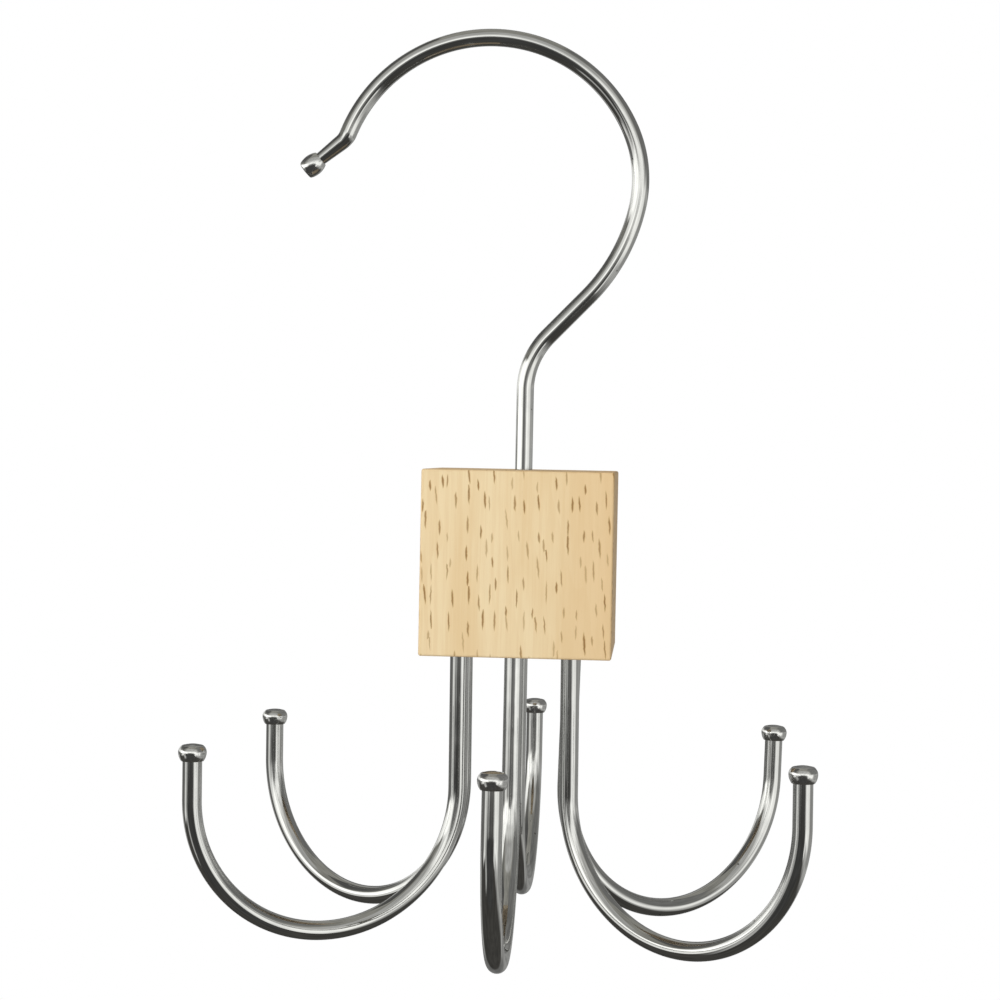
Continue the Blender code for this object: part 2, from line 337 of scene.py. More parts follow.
class SharedEffects:
    """The surface effects that more than one finish of the hanger uses."""

    FINE_SHARE = 0.65
    WIDE_SHARE = 0.35
    WIDE_SCALE = 0.31
    LINE_REACH: Range = (0.44, 0.60)
    SMUDGE_REACH: Range = (0.35, 0.68)
    CELLS_PER_SMUDGE = 2.2
    SPECK_CHANCE: Range = (0.80, 1.0)
    SPECK_RADIUS = 0.075

    def __init__(self) -> None:
        """Builds each group once."""
        self._line_group = self._fine_lines()
        self._mark_group = self._handling()

    def lines(self, sheet: NodeSheet, place: Value, stretch: Triple, contrast: float) -> Node:
        """Places the fine lines in a finish.

        Args:
            sheet: the finish's nodes.
            place: where they are read, in millimetres.
            stretch: how dense they lie along each axis.
            contrast: how strongly they stand out.

        Returns:
            The node. Its outputs are Height and Mask.
        """
        inputs = {"Vector": place, "Stretch": stretch, "Contrast": contrast}
        return sheet.group(self._line_group, inputs)

    def marks(self, sheet: NodeSheet, place: Value, size: float) -> Node:
        """Places the marks of use in a finish.

        Args:
            sheet: the finish's nodes.
            place: where they are read, in millimetres.
            size: the width of a smudge.

        Returns:
            The node. Its outputs are Smudge and Speck.
        """
        return sheet.group(self._mark_group, {"Vector": place, "Size": size})

    def _fine_lines(self) -> NodeTree:
        """Fine lines that run one way: drawing marks on wire, turning marks on caps, fibres in wood.

        Returns:
            The group. Stretch says how dense the lines lie along each axis.
        """
        sheet, start = new_group(
            "fine_lines",
            {"Vector": "NodeSocketVector", "Stretch": "NodeSocketVector", "Contrast": "NodeSocketFloat"},
            {"Height": "NodeSocketFloat", "Mask": "NodeSocketFloat"},
        )
        place = sheet.stretch(start.outputs["Vector"], start.outputs["Stretch"])
        fine = sheet.times(sheet.noise(place, 1.0, detail=3.0, roughness=0.6), self.FINE_SHARE)
        wide = sheet.times(sheet.noise(place, self.WIDE_SCALE, detail=1.0), self.WIDE_SHARE)
        centred = sheet.math("SUBTRACT", sheet.math("ADD", fine, wide), 0.5)
        height = sheet.math("MULTIPLY_ADD", centred, start.outputs["Contrast"], 0.5)
        return close_group(sheet, {"Height": height, "Mask": sheet.remap(height, *self.LINE_REACH)})

    def _handling(self) -> NodeTree:
        """Marks of use: broad faint smudges, and small specks where the surface is nicked.

        Returns:
            The group. Size is the width of a smudge, in the vector's units.
        """
        sheet, start = new_group(
            "handling",
            {"Vector": "NodeSocketVector", "Size": "NodeSocketFloat"},
            {"Smudge": "NodeSocketFloat", "Speck": "NodeSocketFloat"},
        )
        place = start.outputs["Vector"]
        scale = sheet.math("DIVIDE", 1.0, start.outputs["Size"])
        cloud = sheet.noise(place, scale, detail=4.0, roughness=0.6, distortion=0.6)
        cell_scale = sheet.times(scale, self.CELLS_PER_SMUDGE)
        cells = sheet.add("TexVoronoi", {"Vector": place, "Scale": cell_scale})
        chance = sheet.channels(cells.outputs["Color"])[0]
        reach = sheet.remap(chance, *self.SPECK_CHANCE, 0.0, self.SPECK_RADIUS, smooth=False)
        speck = sheet.math("LESS_THAN", cells.outputs["Distance"], reach)
        return close_group(sheet, {"Smudge": sheet.remap(cloud, *self.SMUDGE_REACH), "Speck": speck})


# Finishes


def new_material(name: str) -> Tuple[Material, NodeSheet, Node]:
    """Starts a material.

    Args:
        name: its name.

    Returns:
        The material, the sheet of its nodes, and its Principled shader.
    """
    material = bpy.data.materials.new(name)
    material.use_nodes = True
    return material, NodeSheet(material.node_tree), material.node_tree.nodes["Principled BSDF"]


@dataclass(frozen=True)
class ChromeFinish:
    """Bright chrome plating: clean enough to mirror, with the steel's own marks showing through."""

    name: str
    line_stretch: Triple
    tint: Colour = (0.70, 0.70, 0.685)
    dim_tint: Colour = (0.56, 0.565, 0.555)
    nick_tint: Colour = (0.20, 0.19, 0.18)
    worn_share: float = 0.55
    streak_share: float = 0.25
    clean_roughness: float = 0.035
    smudged_roughness: float = 0.095
    line_contrast: float = 1.6
    line_depth: float = 0.0000022
    wave_depth: float = 0.000050
    wave_length: float = 7.0
    smudge_size: float = 9.0
    # Painted shade at the outline: its dark colour, the facing range where it starts, and its greatest share.
    painted_dark_rim_tint: Colour = (0.10, 0.10, 0.095)
    painted_dark_rim_reach: Range = (0.55, 0.95)
    painted_dark_rim_share: float = 0.40

    def material(self, effects: SharedEffects) -> Material:
        """Makes the plating.

        Args:
            effects: the shared surface effects.

        Returns:
            The material. It reads the mesh's own flow attribute.
        """
        material, sheet, shader = new_material(self.name)
        place = sheet.flow_place()
        lines = effects.lines(sheet, place, self.line_stretch, self.line_contrast)
        marks = effects.marks(sheet, place, self.smudge_size)
        smudge, speck = marks.outputs["Smudge"], marks.outputs["Speck"]

        tone = sheet.stain(self.tint, self.dim_tint, smudge, self.worn_share)
        tone = sheet.stain(tone, self.dim_tint, lines.outputs["Mask"], self.streak_share)
        tone = sheet.mix(speck, tone, self.nick_tint)
        # Painted shade: the plating is darkened towards its outline, where it turns away from the camera, to
        # stand for dark reflections at its edges.
        aside = sheet.add("LayerWeight", {"Blend": 0.5}).outputs["Facing"]
        rim = sheet.remap(aside, *self.painted_dark_rim_reach, 0.0, self.painted_dark_rim_share)
        sheet.feed(shader.inputs["Base Color"], sheet.mix(rim, tone, self.painted_dark_rim_tint))
        shader.inputs["Metallic"].default_value = 1.0
        rough = sheet.remap(smudge, 0.0, 1.0, self.clean_roughness, self.smudged_roughness)
        sheet.feed(shader.inputs["Roughness"], rough)

        wave = sheet.noise(place, 1.0 / self.wave_length, detail=1.0)
        wavy = sheet.add("Bump", {"Height": wave, "Distance": self.wave_depth, "Strength": 1.0})
        nick = sheet.math("SUBTRACT", lines.outputs["Height"], speck)
        lined = sheet.add(
            "Bump",
            {"Height": nick, "Distance": self.line_depth, "Strength": 1.0, "Normal": wavy.outputs[0]},
        )
        sheet.feed(shader.inputs["Normal"], lined.outputs[0])
        return material


@dataclass(frozen=True)
class ZincFinish:
    """Zinc plating on the washer and nut: grey, satin, faintly mottled, and never wiped clean."""

    name: str
    tint: Colour = (0.46, 0.47, 0.47)
    dull_tint: Colour = (0.27, 0.27, 0.26)
    smudge_share: float = 0.70
    smudge_size: float = 1.6
    spangle_share: float = 0.25
    spangle_scale: float = 1.5
    roughness: Range = (0.28, 0.46)
    line_stretch: Triple = (9.0, 0.5, 0.5)
    line_contrast: float = 1.5
    line_depth: float = 0.000006

    def material(self, effects: SharedEffects) -> Material:
        """Makes the plating.

        Args:
            effects: the shared surface effects.

        Returns:
            The material. It reads the mesh's own flow attribute.
        """
        material, sheet, shader = new_material(self.name)
        place = sheet.flow_place()
        lines = effects.lines(sheet, place, self.line_stretch, self.line_contrast)
        smudge = effects.marks(sheet, place, self.smudge_size).outputs["Smudge"]
        spangle = sheet.add("TexVoronoi", {"Vector": place, "Scale": self.spangle_scale})
        grain = sheet.channels(spangle.outputs["Color"])[1]
        tone = sheet.stain(self.tint, self.dull_tint, smudge, self.smudge_share)
        tone = sheet.stain(tone, self.dull_tint, grain, self.spangle_share)
        sheet.feed(shader.inputs["Base Color"], tone)
        shader.inputs["Metallic"].default_value = 1.0
        sheet.feed(shader.inputs["Roughness"], sheet.remap(smudge, 0.0, 1.0, *self.roughness))
        bump = sheet.add("Bump", {"Height": lines.outputs["Height"], "Distance": self.line_depth})
        sheet.feed(shader.inputs["Normal"], bump.outputs[0])
        return material


@dataclass(frozen=True)
class RayPattern:
    """How the wood's rays show on one pair of faces, as slim spindles. Sizes in millimetres."""

    pitch: Range
    half_width: Range
    half_length: Range
    lean: Range
    waver: float
    waver_scale: float = 0.8
    scatter: float = 0.92
    taper: float = 2.4
    faintest: float = 0.40
    reshuffle: float = 7.3
    edge_reach: Range = (-0.12, 0.40)
    core_reach: Range = (0.22, 0.80)

    def masks(self, sheet: NodeSheet, across: Socket, along: Socket) -> Tuple[Socket, Socket]:
        """Draws one spindle in each cell of a pattern.

        Args:
            sheet: the material's nodes.
            across: the distance across the spindles, in millimetres.
            along: the distance along them, in millimetres.

        Returns:
            The masks of each spindle's whole width and of its core.
        """
        place = sheet.add("CombineXYZ", {0: across, 1: along}).outputs[0]
        cell = sheet.stretch(place, (1.0 / self.pitch[0], 1.0 / self.pitch[1], 0.0))
        cells = sheet.add(
            "TexVoronoi",
            {"Vector": cell, "Scale": 1.0, "Randomness": self.scatter},
            voronoi_dimensions="2D",
        )
        offset = sheet.add("VectorMath", {0: cell, 1: cells.outputs["Position"]}, operation="SUBTRACT")
        parts = sheet.parts(sheet.stretch(offset.outputs[0], (*self.pitch, 0.0)))
        chance = sheet.channels(cells.outputs["Color"])

        lean = sheet.remap(chance[2], 0.0, 1.0, *self.lean, smooth=False)
        upright = sheet.math("MULTIPLY_ADD", parts[1], lean, parts[0])
        waver = sheet.noise(sheet.stretch(place, (self.waver_scale, self.waver_scale, 0.0)), 1.0)
        upright = sheet.math("MULTIPLY_ADD", sheet.math("SUBTRACT", waver, 0.5), self.waver, upright)
        width = sheet.remap(chance[0], 0.0, 1.0, *self.half_width, smooth=False)
        length = sheet.remap(chance[1], 0.0, 1.0, *self.half_length, smooth=False)
        off_core = sheet.math("DIVIDE", sheet.math("ABSOLUTE", upright), width)
        off_middle = sheet.math("ABSOLUTE", sheet.math("DIVIDE", parts[1], length))
        slimmer = sheet.math("SUBTRACT", 1.0, sheet.math("POWER", off_middle, self.taper))
        depth = sheet.math("SUBTRACT", slimmer, off_core)
        again = sheet.math("FRACT", sheet.times(chance[0], self.reshuffle))
        dark = sheet.remap(again, 0.0, 1.0, self.faintest, 1.0)
        edge = sheet.times(sheet.remap(depth, *self.edge_reach), dark)
        core = sheet.times(sheet.remap(depth, *self.core_reach), dark)
        return edge, core


@dataclass(frozen=True)
class BeechFinish:
    """Steamed beech, grain upright, under a thin matt lacquer. Sizes in millimetres.

    The rays are ribbons that run from the front to the back: short dark dashes on the front and
    back faces, broad silky flecks on the sides, and fine lines on the end grain.
    """

    name: str
    half_size: Triple
    pale: Colour = (0.860, 0.690, 0.425)
    honey: Colour = (0.770, 0.560, 0.300)
    rosy: Colour = (0.765, 0.520, 0.265)
    ray_edge: Colour = (0.500, 0.300, 0.110)
    ray_core: Colour = (0.270, 0.145, 0.045)
    # Painted shade: the colour that the left and right faces are darkened towards.
    painted_shade_side_tone: Colour = (0.560, 0.380, 0.200)
    side_fleck: Colour = (0.450, 0.280, 0.130)
    end_tone: Colour = (0.480, 0.305, 0.150)
    # Painted shade: how dark the wood looks where the chrome reflects it.
    painted_reflection_shade_tone: Colour = (0.150, 0.135, 0.110)
    dashes: RayPattern = RayPattern((2.95, 5.2), (0.20, 0.33), (1.20, 2.75), (-0.02, 0.12), 0.40)
    flecks: RayPattern = RayPattern((2.3, 8.5), (0.22, 0.62), (2.2, 4.1), (-0.05, 0.05), 0.9)
    lines: RayPattern = RayPattern((1.1, 9.0), (0.05, 0.12), (2.5, 4.4), (-0.03, 0.03), 0.3)
    face_turn: Range = (0.55, 0.85)
    painted_shade_side_share: float = 0.38
    end_share: float = 0.55
    dash_share: float = 0.66
    core_share: float = 0.88
    fleck_share: float = 0.55
    line_share: float = 0.50
    painted_reflection_shade_share: float = 0.78
    fibre_stretch: Triple = (4.2, 4.2, 0.10)
    fibre_contrast: float = 1.5
    fibre_share: float = 0.16
    fibre_depth: float = 0.00001
    streak_stretch: Triple = (1.3, 1.3, 0.05)
    streak_contrast: float = 1.8
    streak_share: float = 0.26
    core_dent: float = -0.9
    pore_dent: float = -0.8
    pore_stretch: Triple = (9.0, 9.0, 0.9)
    pore_reach: Range = (0.70, 0.80)
    pore_share: float = 0.22
    ring_pitch: float = 2.3
    ring_slant: float = 0.16
    ring_warp: float = 9.0
    warp_stretch: Triple = (1.0, 1.0, 0.25)
    warp_scale: float = 0.055
    late_reach: Range = (0.55, 0.97)
    ring_share: float = 0.22
    drift_stretch: Triple = (1.0, 1.0, 0.22)
    drift_scale: float = 0.11
    drift_reach: Range = (0.42, 0.66)
    drift_share: float = 0.55
    rosy_reach: Range = (4.0, 22.0)
    rosy_share: float = 0.62
    smudge_size: float = 11.0
    roughness: Range = (0.52, 0.64)
    silk: float = 0.12
    worn_edge: Range = (0.965, 0.997)
    worn_scale: float = 0.4
    worn_reach: Range = (0.3, 0.7)
    worn_share: Range = (0.04, 0.24)

    def material(self, effects: SharedEffects) -> Material:
        """Makes the wood.

        Args:
            effects: the shared surface effects.

        Returns:
            The material. It reads the object's own coordinates.
        """
        material, sheet, shader = new_material(self.name)
        place = sheet.millimetres(sheet.add("TexCoord").outputs["Object"])
        parts = sheet.parts(place)
        facing = sheet.parts(sheet.add("TexCoord").outputs["Normal"])
        end = sheet.remap(sheet.math("ABSOLUTE", facing[2]), *self.face_turn)
        side = sheet.remap(sheet.math("ABSOLUTE", facing[0]), *self.face_turn)
        face = sheet.math("SUBTRACT", sheet.math("SUBTRACT", 1.0, end), side)
        face = sheet.math("MAXIMUM", face, 0.0)

        fibres = effects.lines(sheet, place, self.fibre_stretch, self.fibre_contrast)
        streaks = effects.lines(sheet, place, self.streak_stretch, self.streak_contrast)
        tone = self._tone(sheet, place)
        tone = sheet.stain(tone, self.honey, fibres.outputs["Mask"], self.fibre_share)
        tone = sheet.stain(tone, self.honey, streaks.outputs["Mask"], self.streak_share)
        # Painted shade: the left and right faces are darkened as if they sat in shade.
        tone = sheet.stain(tone, self.painted_shade_side_tone, side, self.painted_shade_side_share)
        tone = sheet.stain(tone, self.end_tone, end, self.end_share)

        edge, core = self.dashes.masks(sheet, parts[0], parts[2])
        broad, _ = self.flecks.masks(sheet, parts[2], parts[1])
        line, _ = self.lines.masks(sheet, parts[0], parts[1])
        core = sheet.times(core, face)
        broad = sheet.times(broad, side)
        tone = sheet.stain(tone, self.ray_edge, sheet.times(edge, face), self.dash_share)
        tone = sheet.stain(tone, self.ray_core, core, self.core_share)
        tone = sheet.stain(tone, self.side_fleck, broad, self.fleck_share)
        tone = sheet.stain(tone, self.ray_core, sheet.times(line, end), self.line_share)

        pores = sheet.noise(sheet.stretch(place, self.pore_stretch), 1.0, detail=1.0)
        pore = sheet.remap(pores, *self.pore_reach)
        tone = sheet.stain(tone, self.ray_edge, pore, self.pore_share)
        tone = sheet.mix(self._handled_edge(sheet, place), tone, self.ray_edge)
        # Painted shade: where the wood is seen in a reflection, it is darkened as if the block's underside
        # were in shade.
        reflection_shade_mask = sheet.add("LightPath").outputs["Is Glossy Ray"]
        tone = sheet.stain(tone, self.painted_reflection_shade_tone, reflection_shade_mask, self.painted_reflection_shade_share)
        sheet.feed(shader.inputs["Base Color"], tone)

        smudge = effects.marks(sheet, place, self.smudge_size).outputs["Smudge"]
        rough = sheet.remap(smudge, 0.0, 1.0, *self.roughness)
        rough = sheet.math("SUBTRACT", rough, sheet.times(broad, self.silk))
        sheet.feed(shader.inputs["Roughness"], rough)
        shader.inputs["IOR"].default_value = 1.45
        shader.inputs["Specular IOR Level"].default_value = 0.25
        shader.inputs["Coat Weight"].default_value = 0.03
        shader.inputs["Coat Roughness"].default_value = 0.35

        dents = sheet.math("MULTIPLY_ADD", core, self.core_dent, fibres.outputs["Height"])
        dents = sheet.math("MULTIPLY_ADD", pore, self.pore_dent, dents)
        bump = sheet.add("Bump", {"Height": dents, "Distance": self.fibre_depth})
        sheet.feed(shader.inputs["Normal"], bump.outputs[0])
        return material

    def _tone(self, sheet: NodeSheet, place: Socket) -> Socket:
        """The wood's broad colour: growth rings, drifts of honey and a rosier right-hand side.

        Args:
            sheet: the material's nodes.
            place: the point, in millimetres from the block's centre.

        Returns:
            The colour's socket.
        """
        parts = sheet.parts(place)
        warp = sheet.noise(sheet.stretch(place, self.warp_stretch), self.warp_scale)
        depth = sheet.math("MULTIPLY_ADD", parts[0], self.ring_slant, parts[1])
        bent = sheet.math("MULTIPLY_ADD", warp, self.ring_warp, depth)
        ring = sheet.math("FRACT", sheet.math("DIVIDE", bent, self.ring_pitch))
        late = sheet.remap(ring, *self.late_reach)
        drifting = sheet.stretch(place, self.drift_stretch)
        drift = sheet.noise(drifting, self.drift_scale, detail=3.0, distortion=0.5)
        honeyed = sheet.remap(drift, *self.drift_reach, 0.0, self.drift_share)
        tone = sheet.mix(honeyed, self.pale, self.honey)
        tone = sheet.stain(tone, self.honey, late, self.ring_share)
        right = sheet.remap(parts[0], *self.rosy_reach, 0.0, self.rosy_share)
        return sheet.mix(right, tone, self.rosy)

    def _handled_edge(self, sheet: NodeSheet, place: Socket) -> Socket:
        """Where two faces of the block meet, and hands have darkened the edge a little.

        Args:
            sheet: the material's nodes.
            place: the point, in millimetres from the block's centre.

        Returns:
            The share of the darker colour.
        """
        shares = tuple(1.0 / half for half in self.half_size)
        near = sheet.add("VectorMath", {0: sheet.stretch(place, shares)}, operation="ABSOLUTE").outputs[0]
        parts = sheet.parts(near)
        larger = sheet.math("MAXIMUM", parts[0], parts[1])
        smaller = sheet.math("MINIMUM", parts[0], parts[1])
        second = sheet.math("MAXIMUM", smaller, sheet.math("MINIMUM", larger, parts[2]))
        cloud = sheet.noise(place, self.worn_scale, detail=3.0)
        worn = sheet.remap(cloud, *self.worn_reach, *self.worn_share)
        return sheet.times(sheet.remap(second, *self.worn_edge), worn)


@dataclass(frozen=True)
class PaleFloorFinish:
    """The white floor: as white as the background, with the hanger's own soft shadow under it.

    Where it is seen, glow makes up what the lamps leave short of white, so only a shadow is darker.
    From below it isn't there, so that it doesn't hide the hanger's underside.
    """

    name: str
    paint: Colour = (0.92, 0.92, 0.92)
    duller_share: float = 0.985
    mottle_scale: float = 3.0
    lit_level: float = 0.80
    shadow_share: float = 0.55
    shadow_reach: Range = (0.11, 0.18)

    def material(self) -> Material:
        """Makes the floor's white.

        Returns:
            The material. It reads the floor's own coordinates, from its middle.
        """
        material, sheet, shader = new_material(self.name)
        place = sheet.add("TexCoord").outputs["Object"]
        duller = tuple(self.duller_share * part for part in self.paint)
        cloud = sheet.noise(place, self.mottle_scale, detail=4.0)
        mottled = sheet.mix(cloud, self.paint, duller)
        sheet.feed(shader.inputs["Base Color"], mottled)
        shader.inputs["Roughness"].default_value = 0.8
        shader.inputs["Specular IOR Level"].default_value = 0.0

        away = sheet.add("VectorMath", {0: place}, operation="LENGTH").outputs["Value"]
        share = sheet.remap(away, *self.shadow_reach, self.shadow_share, 0.0)
        rest = sheet.math("SUBTRACT", 1.0, share)
        short = sheet.math("SUBTRACT", 1.0, sheet.times(share, self.lit_level))
        glow = sheet.add("Emission", {"Color": WHITE, "Strength": sheet.math("DIVIDE", short, rest)})
        path = sheet.add("LightPath").outputs
        seen = sheet.math("MAXIMUM", path["Is Camera Ray"], path["Is Glossy Ray"])
        seen = sheet.math("MAXIMUM", seen, path["Is Transmission Ray"])
        factor = sheet.times(seen, rest)
        mixed = sheet.add("MixShader", {0: factor, 1: shader.outputs[0], 2: glow.outputs[0]})
        below = sheet.add("NewGeometry").outputs["Backfacing"]
        clear = sheet.add("BsdfTransparent")
        one_sided = sheet.add("MixShader", {0: below, 1: mixed.outputs[0], 2: clear.outputs[0]})
        sheet.feed(material.node_tree.nodes["Material Output"].inputs["Surface"], one_sided.outputs[0])
        return material


@dataclass(frozen=True)
class Finishes:
    """Every finish that the hanger's pieces are dressed in."""

    wire: Material
    cap: Material
    zinc: Material
    beech: Material

    @classmethod
    def make(cls, block_size: Vector) -> "Finishes":
        """Builds the finishes once.

        Args:
            block_size: the wood block's width, depth and height.

        Returns:
            The finishes.
        """
        effects = SharedEffects()
        half = tuple(part * MILLIMETRES / 2 for part in block_size)
        return cls(
            wire=ChromeFinish("drawn_chrome_wire", (0.08, 2.0, 2.0)).material(effects),
            cap=ChromeFinish(
                "turned_chrome_cap",
                (7.0, 0.5, 0.5),
                tint=(0.80, 0.80, 0.785),
                dim_tint=(0.66, 0.665, 0.655),
                clean_roughness=0.11,
                smudged_roughness=0.19,
                wave_depth=0.00001,
                smudge_size=3.0,
                # The caps get a stronger painted dark rim.
                painted_dark_rim_share=0.80,
            ).material(effects),
            zinc=ZincFinish("zinc_plated_steel").material(effects),
            beech=BeechFinish("lacquered_beech", half).material(effects),
        )


# Mesh making


class Stop(NamedTuple):
    """A stop on a wire's centre line, in the wire's own plane."""

    across: float
    up: float
    heading: float
    along: float
    radius: float


class WirePath:
    """A wire's centre line, laid out run by run and bend by bend from its start."""

    def __init__(self, across: float, up: float, heading_degrees: float, radius: float) -> None:
        """Starts the wire.

        Args:
            across: the start's place across the plane.
            up: the start's height.
            heading_degrees: the way it runs, 0 across and 90 up.
            radius: its radius.
        """
        self.stops: List[Stop] = [Stop(across, up, math.radians(heading_degrees), 0.0, radius)]

    @property
    def end(self) -> Stop:
        """The last stop so far."""
        return self.stops[-1]

    def straight(
        self, length: float, step: float = 0.0015, end_radius: Optional[float] = None
    ) -> "WirePath":
        """Runs straight on.

        Args:
            length: the run's length.
            step: the longest distance between stops.
            end_radius: the radius at its end, if it changes.

        Returns:
            The path itself.
        """
        start = self.end
        last = start.radius if end_radius is None else end_radius
        count = max(1, math.ceil(length / step))
        for index in range(1, count + 1):
            share = index / count
            self.stops.append(
                Stop(
                    start.across + length * share * math.cos(start.heading),
                    start.up + length * share * math.sin(start.heading),
                    start.heading,
                    start.along + length * share,
                    start.radius + (last - start.radius) * share,
                )
            )
        return self

    def bend(
        self,
        bend_radius: float,
        degrees: float,
        step_degrees: float = 1.75,
        end_radius: Optional[float] = None,
    ) -> "WirePath":
        """Bends round.

        Args:
            bend_radius: the bend's radius at the centre line.
            degrees: how far it turns, positive to the left.
            step_degrees: the widest turn between stops.
            end_radius: the wire's radius at its end, if it changes.

        Returns:
            The path itself.
        """
        start = self.end
        last = start.radius if end_radius is None else end_radius
        turn = math.radians(degrees)
        side = math.copysign(bend_radius, turn)
        centre_across = start.across - side * math.sin(start.heading)
        centre_up = start.up + side * math.cos(start.heading)
        count = max(2, math.ceil(abs(degrees) / step_degrees))
        for index in range(1, count + 1):
            share = index / count
            eased = share * share * (3 - 2 * share)
            at = start.heading + turn * share
            self.stops.append(
                Stop(
                    centre_across + side * math.sin(at),
                    centre_up - side * math.cos(at),
                    at,
                    start.along + bend_radius * abs(turn) * share,
                    start.radius + (last - start.radius) * eased,
                )
            )
        return self


def turn_angles(sides: int) -> np.ndarray:
    """The angle of each vertex round a ring."""
    return np.arange(sides) * 2 * math.pi / sides


def finish_mesh(
    name: str, vertices: np.ndarray, faces: Sequence[Sequence[int]], flow: np.ndarray
) -> Mesh:
    """Makes a smooth mesh that carries its flow coordinates.

    Args:
        name: the mesh's name.
        vertices: one row of three numbers for each vertex.
        faces: the vertex numbers of each face.
        flow: one row of three numbers for each vertex, which the finishes read.

    Returns:
        The mesh.
    """
    mesh = bpy.data.meshes.new(name)
    mesh.from_pydata(vertices.tolist(), [], faces)
    layer = mesh.attributes.new(FLOW, "FLOAT_VECTOR", "POINT")
    layer.data.foreach_set("vector", flow.astype(np.float32).ravel())
    mesh.update()
    mesh.shade_smooth()
    return mesh


def ring_faces(rings: int, sides: int, closed: bool = False) -> List[Tuple[int, ...]]:
    """The quads between rings of vertices that follow each other.

    Args:
        rings: how many rings there are.
        sides: how many vertices each has.
        closed: joins the last ring to the first one too.

    Returns:
        The faces.
    """
    faces = []
    for ring in range(rings if closed else rings - 1):
        low = ring * sides
        high = (ring + 1) % rings * sides
        for side in range(sides):
            after = (side + 1) % sides
            faces.append((low + side, low + after, high + after, high + side))
    return faces


def swept_mesh(
    name: str, stops: Sequence[Stop], sides: int = 40, radii: Optional[np.ndarray] = None
) -> Mesh:
    """Sweeps a round wire along its stops, with flat ends.

    Args:
        name: the mesh's name.
        stops: the wire's stops.
        sides: how many vertices go round it.
        radii: the radius at each stop and side, where it isn't plainly round.

    Returns:
        The mesh. Its flow is the distance along, and the two distances across.
    """
    angles = turn_angles(sides)
    if radii is None:
        radii = np.repeat([[stop.radius] for stop in stops], sides, axis=1)
    vertices, flow = [], []
    for stop, around in zip(stops, radii):
        outward = np.array((-math.sin(stop.heading), 0.0, math.cos(stop.heading)))
        sideways = np.array((0.0, -1.0, 0.0))
        across = around * np.cos(angles)
        aside = around * np.sin(angles)
        centre = np.array((stop.across, 0.0, stop.up))
        vertices.append(centre + across[:, None] * outward + aside[:, None] * sideways)
        flow.append(np.column_stack((np.full(sides, stop.along), across, aside)))
    faces = ring_faces(len(stops), sides)
    faces.append(tuple(reversed(range(sides))))
    faces.append(tuple(range((len(stops) - 1) * sides, len(stops) * sides)))
    mesh = finish_mesh(name, np.vstack(vertices), faces, np.vstack(flow))
    mesh.set_sharp_from_angle(angle=math.radians(WIRE_SHARP_DEGREES))
    return mesh


def turned_mesh(name: str, profile: Sequence[Tuple[float, float]], sides: int = 64) -> Mesh:
    """Turns a closed profile about Z.

    Args:
        name: the mesh's name.
        profile: the distance from the axis and the height of each point, down the outer side.
        sides: how many vertices go round it.

    Returns:
        The mesh. Its flow is the distance down the profile, and the two distances across.
    """
    angles = turn_angles(sides)
    steps = [math.dist(low, high) for low, high in zip(profile, profile[1:])]
    run = np.concatenate(([0.0], np.cumsum(steps)))
    vertices, flow = [], []
    for (radius, height), down in zip(profile, run):
        across, aside = radius * np.cos(angles), radius * np.sin(angles)
        vertices.append(np.column_stack((across, aside, np.full(sides, height))))
        flow.append(np.column_stack((np.full(sides, down), across, aside)))
    closed = profile[0][0] > 0
    faces = [tuple(reversed(face)) for face in ring_faces(len(profile), sides, closed)]
    mesh = finish_mesh(name, np.vstack(vertices), faces, np.vstack(flow))
    weld = bmesh.new()
    weld.from_mesh(mesh)
    bmesh.ops.remove_doubles(weld, verts=weld.verts, dist=WELD_DISTANCE)
    bmesh.ops.recalc_face_normals(weld, faces=weld.faces)
    weld.to_mesh(mesh)
    weld.free()
    mesh.shade_smooth()
    mesh.set_sharp_from_angle(angle=math.radians(TURNED_SHARP_DEGREES))
    return mesh


def place_piece(
    mesh: Mesh,
    place: Matrix,
    material: Material,
    body: Body,
    node: str,
) -> bpy.types.Object:
    """Puts a piece where its CAD node is, and lets it stand for that node.

    Args:
        mesh: the piece's mesh.
        place: where it goes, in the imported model's frame.
        material: its finish.
        body: the body that it moves with.
        node: the CAD node that it stands for.

    Returns:
        The piece.
    """
    mesh.transform(place.to_3x3().to_4x4())
    piece = bpy.data.objects.new(mesh.name, mesh)
    bpy.context.scene.collection.objects.link(piece)
    piece.location = place.translation
    mesh.materials.append(material)
    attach(piece, body.value)
    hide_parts(node)
    LOG.info("%s: %d faces, on %s, stands for %s", piece.name, len(mesh.polygons), body.value, node)
    return piece


# Sub-assemblies


